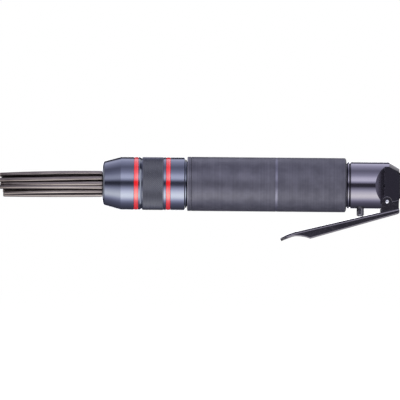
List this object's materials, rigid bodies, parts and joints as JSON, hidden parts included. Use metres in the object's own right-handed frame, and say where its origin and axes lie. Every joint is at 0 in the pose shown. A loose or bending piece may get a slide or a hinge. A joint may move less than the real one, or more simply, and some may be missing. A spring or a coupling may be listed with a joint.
{
  "type": "needle scaler",
  "caption": "Straight air-driven needle scaler: a bundle of sliding steel needles in a tapered nose, a textured barrel grip, a throttle lever and a threaded air inlet.",
  "frame": {"origin": "centre of the air inlet's mouth at the rear of the tool", "axes": "+X along the tool's axis out of the air inlet, -X towards the needles' tips, -Z towards the lever"},
  "size_m": [0.3009, 0.0396, 0.061],
  "materials": {
    "blued_steel": "polished, blued",
    "red_enamel": "glossy",
    "needle_steel": "drawn wire, worn",
    "grip_coat": "matte, finely textured",
    "head_metal": "polished, tinted",
    "lever_black": "satin black",
    "bright_steel": "ground",
    "bushing_steel": "machined",
    "inner_steel": "machined",
    "spring_steel": "oiled",
    "bronze": "machined",
    "seal_rubber": "matte"
  },
  "bodies": {
    "housing": {"nose": "blued_steel", "front_band": "red_enamel", "rear_band": "red_enamel", "return_spring": "spring_steel", "anvil_buffer": "seal_rubber", "anvil_bush": "bronze", "barrel": "blued_steel", "grip": "grip_coat", "lock_ring": "head_metal", "cylinder": "inner_steel", "valve_front_plate": "inner_steel", "valve_rear_plate": "inner_steel", "valve_dowels": "bright_steel", "head": "head_metal", "head_seal": "seal_rubber", "inlet_bushing": "bushing_steel", "inlet_gasket": "bronze", "inlet_screen": "bronze", "throttle_bush": "bronze", "throttle_seal": "seal_rubber", "valve_seat": "bronze", "poppet_spring": "spring_steel", "pivot_pin": "bright_steel"},
    "needle_carrier": {"needle_holder": "inner_steel"},
    "anvil": {"anvil": "inner_steel"},
    "piston": {"piston": "inner_steel"},
    "valve_disc": {"valve_disc": "inner_steel"},
    "lever": {"lever": "lever_black"},
    "plunger": {"plunger": "bright_steel"},
    "poppet": {"poppet": "inner_steel"},
    "needle_01": {"needle_01": "needle_steel"},
    "needle_02": {"needle_02": "needle_steel"},
    "needle_03": {"needle_03": "needle_steel"},
    "needle_04": {"needle_04": "needle_steel"},
    "needle_05": {"needle_05": "needle_steel"},
    "needle_06": {"needle_06": "needle_steel"},
    "needle_07": {"needle_07": "needle_steel"},
    "needle_08": {"needle_08": "needle_steel"},
    "needle_09": {"needle_09": "needle_steel"},
    "needle_10": {"needle_10": "needle_steel"},
    "needle_11": {"needle_11": "needle_steel"},
    "needle_12": {"needle_12": "needle_steel"},
    "needle_13": {"needle_13": "needle_steel"},
    "needle_14": {"needle_14": "needle_steel"},
    "needle_15": {"needle_15": "needle_steel"},
    "needle_16": {"needle_16": "needle_steel"},
    "needle_17": {"needle_17": "needle_steel"},
    "needle_18": {"needle_18": "needle_steel"},
    "needle_19": {"needle_19": "needle_steel"}
  },
  "joints": [
    {"name": "lever_hinge", "type": "hinge", "parent": "housing", "child": "lever", "pos_m": [-0.018, 0, -0.0117], "axis": [0, 1, 0], "range_deg": [0, 9.5], "stiffness_Nm_per_rad": 10, "springref_deg": -11.46},
    {"name": "plunger_slide", "type": "slide", "parent": "housing", "child": "plunger", "axis": [0, 0, 1], "range_m": [0, 0.0034]},
    {"name": "poppet_slide", "type": "slide", "parent": "housing", "child": "poppet", "axis": [0, 0, 1], "range_m": [0, 0.0034], "deforming": ["poppet_spring"]},
    {"name": "carrier_slide", "type": "slide", "parent": "housing", "child": "needle_carrier", "axis": [-1, 0, 0], "range_m": [0, 0.008], "stiffness_N_per_m": 2500, "springref_m": -0.004, "deforming": ["return_spring"]},
    {"name": "anvil_slide", "type": "slide", "parent": "housing", "child": "anvil", "axis": [-1, 0, 0], "range_m": [0, 0.008]},
    {"name": "piston_slide", "type": "slide", "parent": "housing", "child": "piston", "axis": [-1, 0, 0], "range_m": [-0.0016, 0.0256]},
    {"name": "valve_slide", "type": "slide", "parent": "housing", "child": "valve_disc", "axis": [1, 0, 0], "range_m": [0, 0.0008]},
    {"name": "needle_01_slide", "type": "slide", "parent": "needle_carrier", "child": "needle_01", "axis": [-1, 0, 0], "range_m": [-0.0043, 0.0006]},
    {"name": "needle_02_slide", "type": "slide", "parent": "needle_carrier", "child": "needle_02", "axis": [-1, 0, 0], "range_m": [-0.0039, 0.001]},
    {"name": "needle_03_slide", "type": "slide", "parent": "needle_carrier", "child": "needle_03", "axis": [-1, 0, 0], "range_m": [-0.0035, 0.0014]},
    {"name": "needle_04_slide", "type": "slide", "parent": "needle_carrier", "child": "needle_04", "axis": [-1, 0, 0], "range_m": [-0.0031, 0.0018]},
    {"name": "needle_05_slide", "type": "slide", "parent": "needle_carrier", "child": "needle_05", "axis": [-1, 0, 0], "range_m": [-0.0027, 0.0022]},
    {"name": "needle_06_slide", "type": "slide", "parent": "needle_carrier", "child": "needle_06", "axis": [-1, 0, 0], "range_m": [-0.0023, 0.0026]},
    {"name": "needle_07_slide", "type": "slide", "parent": "needle_carrier", "child": "needle_07", "axis": [-1, 0, 0], "range_m": [-0.0019, 0.003]},
    {"name": "needle_08_slide", "type": "slide", "parent": "needle_carrier", "child": "needle_08", "axis": [-1, 0, 0], "range_m": [-0.0015, 0.0034]},
    {"name": "needle_09_slide", "type": "slide", "parent": "needle_carrier", "child": "needle_09", "axis": [-1, 0, 0], "range_m": [-0.0049, 0]},
    {"name": "needle_10_slide", "type": "slide", "parent": "needle_carrier", "child": "needle_10", "axis": [-1, 0, 0], "range_m": [-0.0045, 0.0004]},
    {"name": "needle_11_slide", "type": "slide", "parent": "needle_carrier", "child": "needle_11", "axis": [-1, 0, 0], "range_m": [-0.0041, 0.0008]},
    {"name": "needle_12_slide", "type": "slide", "parent": "needle_carrier", "child": "needle_12", "axis": [-1, 0, 0], "range_m": [-0.0037, 0.0012]},
    {"name": "needle_13_slide", "type": "slide", "parent": "needle_carrier", "child": "needle_13", "axis": [-1, 0, 0], "range_m": [-0.0033, 0.0016]},
    {"name": "needle_14_slide", "type": "slide", "parent": "needle_carrier", "child": "needle_14", "axis": [-1, 0, 0], "range_m": [-0.0029, 0.002]},
    {"name": "needle_15_slide", "type": "slide", "parent": "needle_carrier", "child": "needle_15", "axis": [-1, 0, 0], "range_m": [-0.0025, 0.0024]},
    {"name": "needle_16_slide", "type": "slide", "parent": "needle_carrier", "child": "needle_16", "axis": [-1, 0, 0], "range_m": [-0.0021, 0.0028]},
    {"name": "needle_17_slide", "type": "slide", "parent": "needle_carrier", "child": "needle_17", "axis": [-1, 0, 0], "range_m": [-0.0017, 0.0032]},
    {"name": "needle_18_slide", "type": "slide", "parent": "needle_carrier", "child": "needle_18", "axis": [-1, 0, 0], "range_m": [-0.0013, 0.0036]},
    {"name": "needle_19_slide", "type": "slide", "parent": "needle_carrier", "child": "needle_19", "axis": [-1, 0, 0], "range_m": [-0.0047, 0.0002]}
  ],
  "couplings": [
    {"joint": "plunger_slide", "follows": "lever_hinge", "m_per_rad": 0.0204},
    {"joint": "poppet_slide", "follows": "lever_hinge", "m_per_rad": 0.0204},
    {"joint": "anvil_slide", "follows": "carrier_slide", "ratio": 1}
  ]
}
